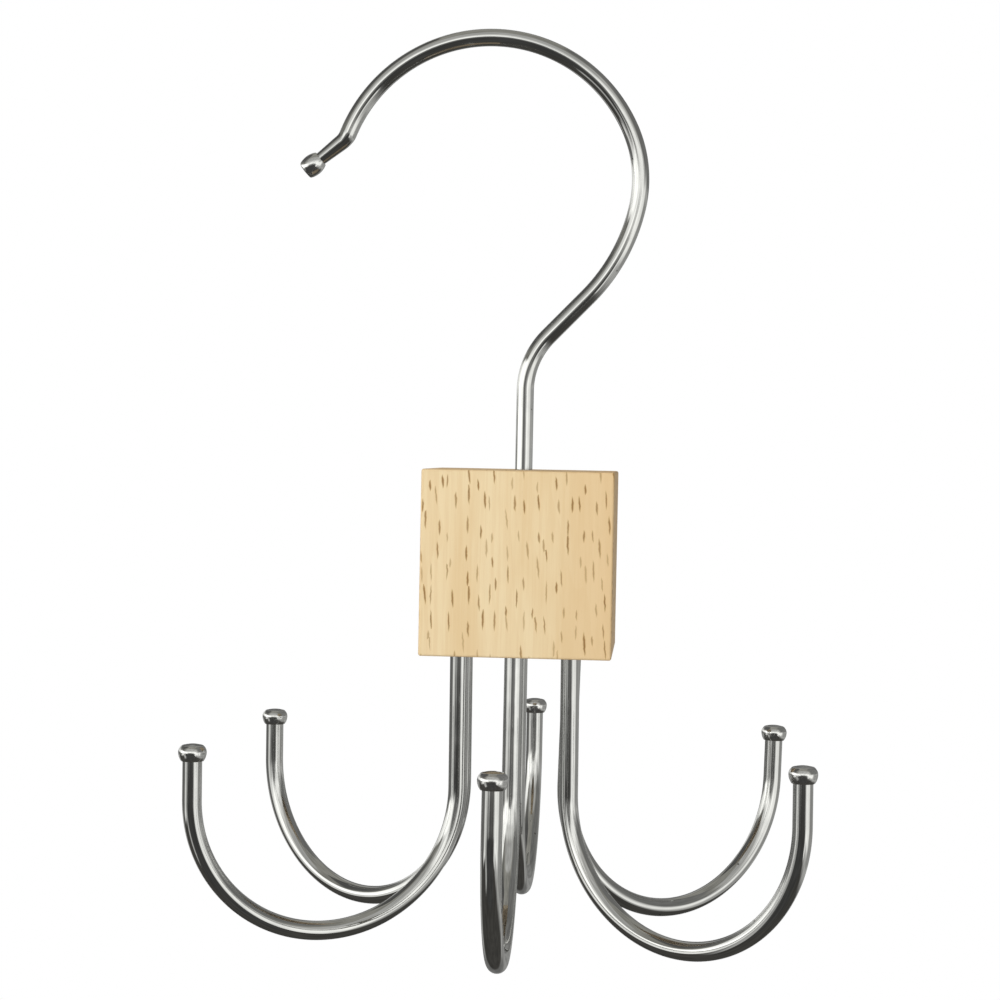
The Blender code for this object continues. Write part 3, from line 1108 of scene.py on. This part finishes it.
@dataclass
class CapShape:
    """A pressed-on cap: flat crown, small round rim, and a bulging side that draws in to the wire."""

    wire_radius: float
    overhang: float
    height: float
    dome: float
    waist: float
    rim_inset: float
    rim_drop: float
    socket: float
    fit_gap: float = 0.0002
    lip_wall: float = 0.0001
    bulge_degrees: float = 35.0
    arc_steps: int = 8
    crown_steps: int = 4

    def mesh(self, name: str) -> Mesh:
        """Turns the cap, its mouth at height 0.

        Args:
            name: the mesh's name.

        Returns:
            The mesh.
        """
        outer = self.wire_radius + self.overhang
        inner = self.wire_radius + self.fit_gap
        lip = inner + min(self.lip_wall, (outer - inner) / 2)
        top = self.height - self.dome
        rise = top - self.rim_drop - self.waist
        upper = self._bulge(self.rim_inset, rise)
        lower = self._bulge(outer - lip, self.waist)
        above = [(outer - inward, self.waist + along) for inward, along in upper]
        below = [(outer - inward, self.waist - along) for inward, along in lower]

        rim = outer - self.rim_inset
        flat = math.cos(math.radians(self.bulge_degrees))
        corner = rim - self.rim_drop * self.rim_inset / rise * (1 + flat) / flat
        crown = corner - math.dist((corner, top), (rim, top - self.rim_drop))
        profile = []
        for step in range(self.crown_steps):
            share = step / self.crown_steps
            profile.append((crown * share, self.height - self.dome * share**2))
        for step in range(self.arc_steps):
            share = step / self.arc_steps
            radius = (1 - share) ** 2 * crown + 2 * share * (1 - share) * corner + share**2 * rim
            profile.append((radius, top - self.rim_drop * share**2))
        profile += above[::-1] + below[1:]
        profile += [(inner, 0.0), (inner, self.socket), (0.0, self.socket)]
        return turned_mesh(name, profile)

    def _bulge(self, inset: float, reach: float) -> List[Tuple[float, float]]:
        """Half of the side's bulge.

        Args:
            inset: how far it draws in.
            reach: how far it runs along the cap.

        Returns:
            The distance in and along of each point, from the widest one on.
        """
        last = math.radians(self.bulge_degrees)
        points = []
        for step in range(self.arc_steps + 1):
            angle = last * step / self.arc_steps
            inward = inset * (1 - math.cos(angle)) / (1 - math.cos(last))
            points.append((inward, reach * math.sin(angle) / math.sin(last)))
        return points


@dataclass
class HangingHook:
    """The top hook: threaded stem, slanted shank, round loop, necked and kinked tip, and a button."""

    wire_diameter: float = 0.0037
    stem_rise: float = 0.0171
    stem_bend: Tuple[float, float] = (0.0167, -44.1)
    shank_length: float = 0.0118
    shank_bend: Tuple[float, float] = (0.0396, 31.9)
    loop_side: Tuple[float, float] = (0.0269, 37.1)
    loop_top: Tuple[float, float] = (0.0330, 133.2)
    kink: Tuple[float, float] = (0.0050, -29.3)
    neck_start_diameter: float = 0.0034
    neck_diameter: float = 0.0028
    neck_length: float = 0.0057
    thread_pitch: float = 0.0007
    thread_depth: float = 0.00032
    stops_per_thread: int = 14
    neck_step: float = 0.0005
    stem_chamfer: float = 0.0004
    sides: int = 40
    button: CapShape = field(
        default_factory=lambda: CapShape(
            wire_radius=0.0014,
            overhang=0.0009,
            height=0.0044,
            dome=0.0001,
            waist=0.0022,
            rim_inset=0.00035,
            rim_drop=0.0003,
            socket=0.0026,
        )
    )

    def build(self, block_top: float, thread_top: float, finishes: Finishes) -> None:
        """Makes the wire and its button.

        Args:
            block_top: the height of the block's top face.
            thread_top: the height that the stem's thread reaches.
            finishes: the hanger's finishes.
        """
        stem_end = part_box("hanging_hook")[0].z
        radius = self.wire_diameter / 2
        path = WirePath(0.0, stem_end, 90.0, radius)
        path.straight(thread_top - stem_end, step=self.thread_pitch / self.stops_per_thread)
        threaded = len(path.stops)
        path.straight(block_top - thread_top + self.stem_rise)
        path.bend(*self.stem_bend).straight(self.shank_length).bend(*self.shank_bend)
        path.bend(*self.loop_side).bend(*self.loop_top)
        path.bend(*self.kink, end_radius=self.neck_start_diameter / 2)
        path.straight(self.neck_length, step=self.neck_step, end_radius=self.neck_diameter / 2)
        neck_end = path.end
        path.straight(self.button.socket - self.button.fit_gap)

        radii = np.repeat([[stop.radius] for stop in path.stops], self.sides, axis=1)
        radii[:threaded] = self._thread_radii(path.stops[:threaded], stem_end, thread_top)
        wire = swept_mesh("hanging_hook_wire", path.stops, self.sides, radii)
        place_piece(wire, Matrix.Identity(4), finishes.wire, Body.HANGING_HOOK, "hanging_hook")

        turn = Euler((0.0, math.pi / 2 - neck_end.heading, 0.0)).to_matrix().to_4x4()
        place = Matrix.Translation((neck_end.across, 0.0, neck_end.up)) @ turn
        button = self.button.mesh("hanging_hook_button")
        place_piece(button, place, finishes.cap, Body.HANGING_HOOK, "hanging_hook_cap")

    def _thread_radii(self, stops: Sequence[Stop], low: float, high: float) -> np.ndarray:
        """The rolled thread on the stem's lower end, with its lead-in chamfer.

        Args:
            stops: the stops of the threaded run.
            low: the stem's lower end.
            high: where the thread runs out.

        Returns:
            The radius at each stop and side.
        """
        turns = np.arange(self.sides) / self.sides
        rows = []
        for stop in stops:
            wave = 0.5 - 0.5 * np.cos(2 * math.pi * (stop.up / self.thread_pitch - turns))
            fade = min(1.0, (high - stop.up) / self.thread_pitch)
            cut = stop.radius - self.thread_depth * wave * max(0.0, fade)
            lead = stop.radius - max(0.0, self.stem_chamfer - (stop.up - low))
            rows.append(np.minimum(cut, lead))
        return np.array(rows)


@dataclass
class Swivel:
    """What holds the block on the stem: a flat washer, and a hexagon nut under it."""

    bore_radius: float = 0.00205
    washer_edge: float = 0.00012
    edge_share: float = 0.3
    nut_across_flats: float = 0.0070
    nut_chamfer_share: float = 0.95
    nut_chamfer_degrees: float = 30.0
    nut_sharp_degrees: float = 22.0
    bore_chamfer: float = 0.0003
    corner_share: float = 0.985
    sides: int = 72

    def build(self, finishes: Finishes) -> None:
        """Makes the washer and the nut.

        Args:
            finishes: the hanger's finishes.
        """
        low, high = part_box("swivel_washer")
        washer = turned_mesh("plain_washer", self._washer_profile(high.x, high.z - low.z))
        place = Matrix.Translation((0.0, 0.0, high.z))
        place_piece(washer, place, finishes.zinc, Body.HANGING_HOOK, "swivel_washer")

        low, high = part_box("swivel_nut")
        place = Matrix.Translation((0.0, 0.0, high.z))
        nut = self._nut_mesh("hexagon_nut", high.z - low.z)
        place_piece(nut, place, finishes.zinc, Body.HANGING_HOOK, "swivel_nut")

    def _washer_profile(self, outer: float, thickness: float) -> List[Tuple[float, float]]:
        """The washer's section, with its stamped edges broken.

        Args:
            outer: its outer radius.
            thickness: its thickness.

        Returns:
            The profile, from the top outer edge down and round.
        """
        edge = self.washer_edge
        inner = self.bore_radius
        eased = edge * self.edge_share
        return [
            (outer - edge, 0.0),
            (outer - eased, -eased),
            (outer, -edge),
            (outer, edge - thickness),
            (outer - eased, eased - thickness),
            (outer - edge, -thickness),
            (inner + edge, -thickness),
            (inner, edge - thickness),
            (inner, -edge),
            (inner + edge, 0.0),
        ]

    def _nut_mesh(self, name: str, height: float) -> Mesh:
        """The nut, its top face at height 0, chamfered on both faces and at the bore.

        Args:
            name: the mesh's name.
            height: its height.

        Returns:
            The mesh.
        """
        half = self.nut_across_flats / 2
        half_flat = math.pi / 6
        corner = half / math.cos(half_flat) * self.corner_share
        angles = turn_angles(self.sides)
        off_flat = (angles + half_flat) % (2 * half_flat) - half_flat
        hexagon = np.minimum(half / np.cos(off_flat), corner)
        face = half * self.nut_chamfer_share
        slope = math.tan(math.radians(self.nut_chamfer_degrees))
        fall = (hexagon - face) * slope
        plain = np.ones(self.sides)
        mouth = self.bore_radius + self.bore_chamfer
        rings = [
            (self.bore_radius * plain, -self.bore_chamfer * plain),
            (mouth * plain, 0.0 * plain),
            (face * plain, 0.0 * plain),
            (hexagon, -fall),
            (hexagon, fall - height),
            (face * plain, -height * plain),
            (mouth * plain, -height * plain),
            (self.bore_radius * plain, (self.bore_chamfer - height) * plain),
        ]
        vertices = np.vstack([np.column_stack((r * np.cos(angles), r * np.sin(angles), z)) for r, z in rings])
        flow = np.vstack([np.column_stack((r, r * np.cos(angles), r * np.sin(angles))) for r, _ in rings])
        quads = ring_faces(len(rings), self.sides, closed=True)
        faces = [tuple(reversed(quad)) for quad in quads]
        mesh = finish_mesh(name, vertices, faces, flow)
        mesh.set_sharp_from_angle(angle=math.radians(self.nut_sharp_degrees))
        return mesh


class HookStand(NamedTuple):
    """Where one J hook stands, and how it was set: the shares are of the hook's wire diameter."""

    name: str
    azimuth_degrees: float
    turn_degrees: float
    lean_degrees: float
    across_share: float
    drop_share: float
    rise_share: float


@dataclass
class JHooks:
    """The six J-shaped hooks, pressed into the block's underside, each with a cap on its tip."""

    wire_diameter: float = 0.0040
    ring_diameter: float = 0.0268
    ring_offset: float = -0.0008
    seat_depth: float = 0.0140
    drop: float = 0.0294
    inner_bend_radius: float = 0.0289
    outer_bend_radius: float = 0.0284
    tip_rise: float = 0.0084
    cap: CapShape = field(
        default_factory=lambda: CapShape(
            wire_radius=0.0020,
            overhang=0.0009,
            height=0.0035,
            dome=0.00028,
            waist=0.0018,
            rim_inset=0.0006,
            rim_drop=0.00015,
            socket=0.0021,
        )
    )
    stands: Tuple[HookStand, ...] = (
        HookStand("front_hook", -90.0, 0.2, 1.8, 0.09, -0.06, 0.0),
        HookStand("front_right_hook", -30.0, -4.5, 0.5, 0.07, 0.11, 0.06),
        HookStand("rear_right_hook", 30.0, 6.0, -1.5, 0.04, 0.02, 0.03),
        HookStand("rear_hook", 90.0, -0.8, -0.5, -0.08, 0.03, 0.12),
        HookStand("rear_left_hook", 150.0, -4.6, -0.4, -0.09, 0.0, -0.11),
        HookStand("front_left_hook", -150.0, -6.2, -0.3, -0.02, -0.10, -0.08),
    )

    def socket(self, stand: HookStand, underside: float) -> Matrix:
        """Where a hook's stem meets the block's underside, and how it is turned.

        Args:
            stand: the hook's stand.
            underside: the height of the block's underside.

        Returns:
            The place as a matrix. The hook's plane is its XZ plane.
        """
        azimuth = math.radians(stand.azimuth_degrees)
        ring = self.ring_diameter / 2
        across = self.ring_offset + stand.across_share * self.wire_diameter + ring * math.cos(azimuth)
        facing = math.radians(stand.azimuth_degrees + stand.turn_degrees)
        tilt = Euler((0.0, -math.radians(stand.lean_degrees), facing)).to_matrix().to_4x4()
        return Matrix.Translation((across, ring * math.sin(azimuth), underside)) @ tilt

    def seat(self, stand: HookStand) -> float:
        """How deep a hook's stem sits in the block."""
        return self.seat_depth - stand.drop_share * self.wire_diameter

    def build(self, underside: float, finishes: Finishes) -> None:
        """Makes the six hooks and their caps.

        Args:
            underside: the height of the block's underside.
            finishes: the hanger's finishes.
        """
        for stand in self.stands:
            place = self.socket(stand, underside)
            drop = self.drop + stand.drop_share * self.wire_diameter
            rise = self.tip_rise + stand.rise_share * self.wire_diameter
            path = WirePath(0.0, self.seat(stand), -90.0, self.wire_diameter / 2)
            path.straight(self.seat(stand) + drop)
            path.bend(self.inner_bend_radius, 90.0).bend(self.outer_bend_radius, 90.0).straight(rise)
            tip = path.end
            path.straight(self.cap.socket - self.cap.fit_gap)
            wire = swept_mesh(stand.name + "_wire", path.stops)
            place_piece(wire, place, finishes.wire, Body.BLOCK, stand.name)

            top = place @ Matrix.Translation((tip.across, 0.0, tip.up))
            cap = self.cap.mesh(stand.name + "_end_cap")
            place_piece(cap, top, finishes.cap, Body.BLOCK, stand.name + "_cap")


@dataclass
class BeechBlock:
    """The beech block: eased edges, six drilled hook holes, the swivel's bore and its counterbore."""

    edge_radius: float = 0.0005
    edge_segments: int = 5
    hole_gap: float = 0.0002
    rim_chamfer: float = 0.00025
    bore_radius: float = 0.00205
    counterbore_radius: float = 0.0055
    counterbore_depth: float = 0.0089
    overrun: float = 0.002
    drill_sides: int = 48
    sharp_degrees: float = 35.0

    def build(self, hooks: JHooks, finishes: Finishes) -> None:
        """Makes the block, and drills it.

        Args:
            hooks: the J hooks, whose holes it has.
            finishes: the hanger's finishes.
        """
        low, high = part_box("wood_block")
        centre = (low + high) / 2
        block = self._blank(high - low)
        drills = [self._swivel_drill(low.z, high.z)]
        for stand in hooks.stands:
            radius = hooks.wire_diameter / 2 + self.hole_gap
            drill = self._hook_drill(radius, hooks.seat(stand) + self.hole_gap)
            drills.append((drill, hooks.socket(stand, low.z)))
        mesh = self._drilled(block, centre, drills)
        place = Matrix.Translation(centre)
        piece = place_piece(mesh, place, finishes.beech, Body.BLOCK, "wood_block")
        weight = piece.modifiers.new("Even shading", "WEIGHTED_NORMAL")
        weight.keep_sharp = True

    def _blank(self, size: Vector) -> Mesh:
        """Saws the block and eases its edges.

        Args:
            size: its width, depth and height.

        Returns:
            The mesh, about its own centre.
        """
        mesh = bpy.data.meshes.new("beech_block")
        shape = bmesh.new()
        bmesh.ops.create_cube(shape, size=1.0, matrix=Matrix.Diagonal((*size, 1.0)))
        bmesh.ops.bevel(
            shape,
            geom=shape.edges[:],
            offset=self.edge_radius,
            segments=self.edge_segments,
            profile=0.5,
            affect="EDGES",
        )
        shape.to_mesh(mesh)
        shape.free()
        return mesh

    def _swivel_drill(self, bottom: float, top: float) -> Tuple[Mesh, Matrix]:
        """The swivel's bore and counterbore, both with chamfered rims.

        Args:
            bottom: the height of the block's underside.
            top: the height of its top face.

        Returns:
            The cutter, and where it goes.
        """
        rim = self.rim_chamfer
        bore = self.bore_radius
        wide = self.counterbore_radius
        ceiling = bottom + self.counterbore_depth
        profile = [
            (0.0, top + self.overrun),
            (bore + rim + self.overrun, top + self.overrun),
            (bore, top - rim),
            (bore, ceiling),
            (wide, ceiling),
            (wide, bottom + rim),
            (wide + rim + self.overrun, bottom - self.overrun),
            (0.0, bottom - self.overrun),
        ]
        return turned_mesh("swivel_drill", profile, self.drill_sides), Matrix.Identity(4)

    def _hook_drill(self, radius: float, depth: float) -> Mesh:
        """A hook's hole, with a chamfered rim.

        Args:
            radius: the hole's radius.
            depth: its depth.

        Returns:
            The cutter, its mouth at height 0.
        """
        rim = self.rim_chamfer
        profile = [
            (0.0, depth),
            (radius, depth),
            (radius, rim),
            (radius + rim + self.overrun, -self.overrun),
            (0.0, -self.overrun),
        ]
        return turned_mesh("hook_drill", profile, self.drill_sides)

    def _drilled(
        self, mesh: Mesh, centre: Vector, drills: Sequence[Tuple[Mesh, Matrix]]
    ) -> Mesh:
        """Cuts the drills out of the block.

        Args:
            mesh: the block.
            centre: where its centre is.
            drills: each cutter, and where it goes.

        Returns:
            The drilled mesh.
        """
        scene = bpy.context.scene
        block = bpy.data.objects.new("block_blank", mesh)
        scene.collection.objects.link(block)
        block.location = centre
        bench = bpy.data.collections.new("drills")
        scene.collection.children.link(bench)
        for drill, place in drills:
            cutter = bpy.data.objects.new(drill.name, drill)
            bench.objects.link(cutter)
            cutter.matrix_world = place
        cut = block.modifiers.new("Drill", "BOOLEAN")
        cut.operation = "DIFFERENCE"
        cut.operand_type = "COLLECTION"
        cut.collection = bench
        cut.solver = "EXACT"
        bpy.context.view_layer.update()
        ready = block.evaluated_get(bpy.context.evaluated_depsgraph_get())
        drilled = bpy.data.meshes.new_from_object(ready)
        drilled.name = mesh.name
        for obj in [block, *bench.objects]:
            bpy.data.objects.remove(obj, do_unlink=True)
        bpy.data.collections.remove(bench)
        drilled.materials.clear()
        drilled.shade_smooth()
        drilled.set_sharp_from_angle(angle=math.radians(self.sharp_degrees))
        return drilled


# Studio


class Wall(Enum):
    """The side of the studio that a panel stands on, as the way to it: across the room, and along it."""

    LEFT = (-1.0, 0.0)
    RIGHT = (1.0, 0.0)
    FRONT = (0.0, -1.0)
    BACK = (0.0, 1.0)


@dataclass(frozen=True)
class Panel:
    """A soft-edged grey panel that the metal sees, measured on its wall at a distance of one."""

    wall: Wall
    across: Range
    up: Range
    softness: Tuple[float, float]
    level: float

    def share(self, sheet: NodeSheet, way: Sequence[Socket]) -> Socket:
        """How much of the panel shows in a direction.

        Args:
            sheet: the world's nodes.
            way: the direction's three parts.

        Returns:
            The share's socket.
        """
        side_x, side_y = self.wall.value
        toward = sheet.times(way[0] if side_x else way[1], side_x or side_y)
        reach = sheet.math("MAXIMUM", toward, LEAST_REACH)
        shares = [sheet.math("GREATER_THAN", toward, 0.0)]
        places = ((way[1] if side_x else way[0], self.across), (way[2], self.up))
        for (part, (low, high)), soft in zip(places, self.softness):
            off = sheet.math("SUBTRACT", sheet.math("DIVIDE", part, reach), (low + high) / 2)
            half = (high - low) / 2
            shares.append(sheet.remap(sheet.math("ABSOLUTE", off), half + soft, max(0.0, half - soft)))
        return sheet.times(shares[0], sheet.times(shares[1], shares[2]))


class Lamp(NamedTuple):
    """A soft round lamp: its task, place, width and power."""

    role: LampRole
    place: Triple
    size: float
    power: float


@dataclass
class Studio:
    """A white studio: pale floor, two soft lamps, and the panels that the chrome mirrors."""

    floor_height: float = -0.250
    floor_radius: float = 6.0
    floor_sides: int = 96
    plain_level: float = 0.45
    lamps: Tuple[Lamp, ...] = (
        Lamp(LampRole.KEY, (-0.55, -0.85, 0.50), 0.55, 7.7),
        Lamp(LampRole.BACK, (-0.45, 0.95, 0.35), 0.70, 3.5),
    )
    aim: Triple = (0.0, 0.0, -0.10)
    overhead: Range = (0.30, 0.47)
    zenith: Colour = (0.315, 0.310, 0.282)
    nadir: Colour = (0.064, 0.062, 0.057)
    mottle: Range = (0.80, 1.18)
    mottle_reach: Range = (0.32, 0.68)
    mottle_scale: float = 4.5
    panel_tint: Colour = (1.0, 1.0, 0.97)
    panels: Tuple[Panel, ...] = (
        Panel(Wall.BACK, (-2.0, 1.8), (-0.7, 0.9), (0.35, 0.20), 0.46),
        Panel(Wall.BACK, (-0.5, 0.45), (-0.8, 0.6), (0.10, 0.10), 0.20),
        Panel(Wall.BACK, (0.05, 0.4), (-0.45, 0.05), (0.05, 0.05), 0.34),
        Panel(Wall.BACK, (-2.4, -0.4), (0.05, 0.3), (0.10, 0.05), 1.15),
        Panel(Wall.BACK, (0.05, 1.6), (0.1, 0.9), (0.10, 0.05), 0.26),
        Panel(Wall.FRONT, (-1.4, 1.3), (0.7, 1.8), (0.35, 0.15), 0.48),
        Panel(Wall.FRONT, (-3.3, 2.0), (0.0, 0.65), (0.10, 0.15), 0.85),
        Panel(Wall.FRONT, (-1.6, 0.55), (0.05, 0.35), (0.30, 0.05), 1.30),
        Panel(Wall.LEFT, (-0.3, 1.4), (0.55, 2.6), (0.10, 0.15), 0.10),
        Panel(Wall.LEFT, (0.0, 3.0), (0.05, 0.35), (0.10, 0.05), 1.00),
        Panel(Wall.LEFT, (-2.4, 0.0), (-0.35, 0.1), (0.10, 0.05), 1.00),
        Panel(Wall.LEFT, (-1.5, 0.2), (-0.05, 0.4), (0.25, 0.05), 1.65),
        Panel(Wall.LEFT, (-1.4, -0.5), (-1.0, -0.15), (0.10, 0.10), 0.50),
        Panel(Wall.LEFT, (-0.15, 3.0), (-0.25, -0.05), (0.10, 0.05), 0.17),
        Panel(Wall.RIGHT, (-2.9, 1.0), (-0.75, 0.3), (0.30, 0.20), 0.52),
        Panel(Wall.RIGHT, (-0.55, 2.0), (0.2, 2.7), (0.20, 0.15), 0.19),
        Panel(Wall.RIGHT, (-1.3, -0.25), (-0.45, 0.1), (0.20, 0.10), 1.15),
        Panel(Wall.RIGHT, (-2.5, -1.1), (-0.8, 0.5), (0.10, 0.05), 1.30),
        Panel(Wall.RIGHT, (-0.1, 3.0), (-0.55, -0.05), (0.10, 0.05), 0.36),
        Panel(Wall.RIGHT, (0.0, 3.0), (0.05, 0.5), (0.10, 0.05), 0.22),
        Panel(Wall.FRONT, (-1.05, 0.6), (-1.8, -0.1), (0.15, 0.10), 0.06),
        Panel(Wall.FRONT, (-0.4, 0.15), (-0.1, 0.1), (0.10, 0.05), 0.20),
    )

    def build(self) -> None:
        """Makes the world, the floor and the lamps."""
        self._world()
        self._floor()
        for lamp in self.lamps:
            self._hang(lamp)

    def _world(self) -> None:
        """White for the camera, plain light for the object, and panels for the metal to mirror."""
        world = bpy.data.worlds.new("white_studio")
        world.use_nodes = True
        bpy.context.scene.world = world
        sheet = NodeSheet(world.node_tree)
        direction = sheet.add("TexCoord").outputs["Generated"]
        way = sheet.parts(direction)
        tone = sheet.mix(sheet.remap(way[2], *self.overhead), self.nadir, self.zenith)
        for panel in self.panels:
            lit = tuple(panel.level * part for part in self.panel_tint)
            tone = sheet.mix(panel.share(sheet, way), tone, lit)
        cloud = sheet.noise(direction, self.mottle_scale, detail=3.0, roughness=0.6)
        level = sheet.remap(cloud, *self.mottle_reach, *self.mottle)
        tone = sheet.add("VectorMath", {0: tone, "Scale": level}, operation="SCALE").outputs[0]

        path = sheet.add("LightPath").outputs
        light = sheet.mix(path["Is Glossy Ray"], (self.plain_level,) * 3, tone)
        seen = sheet.math("MAXIMUM", path["Is Camera Ray"], path["Is Transmission Ray"])
        background = world.node_tree.nodes["Background"]
        sheet.feed(background.inputs["Color"], sheet.mix(seen, light, WHITE))

    def _floor(self) -> None:
        """The round white floor. The metal sees the studio's own dark end in its place."""
        mesh = bpy.data.meshes.new("studio_floor")
        shape = bmesh.new()
        bmesh.ops.create_circle(shape, cap_ends=True, segments=self.floor_sides, radius=self.floor_radius)
        shape.to_mesh(mesh)
        shape.free()
        mesh.materials.append(PaleFloorFinish("white_floor").material())
        floor = bpy.data.objects.new("studio_floor", mesh)
        bpy.context.scene.collection.objects.link(floor)
        floor.location = (0.0, 0.0, self.floor_height)
        floor.visible_glossy = False

    def _hang(self, lamp: Lamp) -> None:
        """Hangs a lamp that shades the wood. The chrome's own highlights come from the panels.

        Args:
            lamp: the lamp.
        """
        light = bpy.data.lights.new(lamp.role.value, "AREA")
        light.shape = "DISK"
        light.size = lamp.size
        light.energy = lamp.power
        hung = bpy.data.objects.new(lamp.role.value, light)
        bpy.context.scene.collection.objects.link(hung)
        hung.location = lamp.place
        way = Vector(self.aim) - Vector(lamp.place)
        hung.rotation_euler = way.to_track_quat("-Z", "Y").to_euler()
        hung.visible_glossy = False
        hung.visible_camera = False


@dataclass
class PhotoCamera:
    """The camera at the photograph's viewing angle, worked out from the hanger's outline.

    An unturned camera looks straight down, so level_degrees raises it to the horizon.
    """

    place: Triple = (0.0288, -0.4749, -0.0855)
    bearing_degrees: float = -4.07
    pitch_degrees: float = -1.26
    roll_degrees: float = 1.12
    lens: float = 79.66
    sensor: float = 36.0
    level_degrees: float = 90.0
    clip_start: float = 0.01

    def build(self) -> None:
        """Sets up the camera."""
        data = bpy.data.cameras.new("photo_camera")
        data.lens = self.lens
        data.sensor_width = self.sensor
        data.clip_start = self.clip_start
        camera = bpy.data.objects.new("photo_camera", data)
        bpy.context.scene.collection.objects.link(camera)
        turn = Matrix.Rotation(math.radians(-self.bearing_degrees), 4, "Z")
        pitch = Matrix.Rotation(math.radians(self.level_degrees + self.pitch_degrees), 4, "X")
        roll = Matrix.Rotation(math.radians(self.roll_degrees), 4, "Z")
        camera.matrix_world = Matrix.Translation(self.place) @ turn @ pitch @ roll
        bpy.context.scene.camera = camera


def main() -> None:
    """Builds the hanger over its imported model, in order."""
    logging.basicConfig(level=logging.INFO, format="%(message)s")
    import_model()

    low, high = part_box("wood_block")
    finishes = Finishes.make(high - low)
    PhotoCamera().build()
    Studio().build()
    thread_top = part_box("swivel_washer")[0].z
    HangingHook().build(high.z, thread_top, finishes)
    Swivel().build(finishes)
    hooks = JHooks()
    BeechBlock().build(hooks, finishes)
    hooks.build(low.z, finishes)

    bpy.context.scene.view_settings.view_transform = "Standard"


if __name__ == "__main__":
    main()
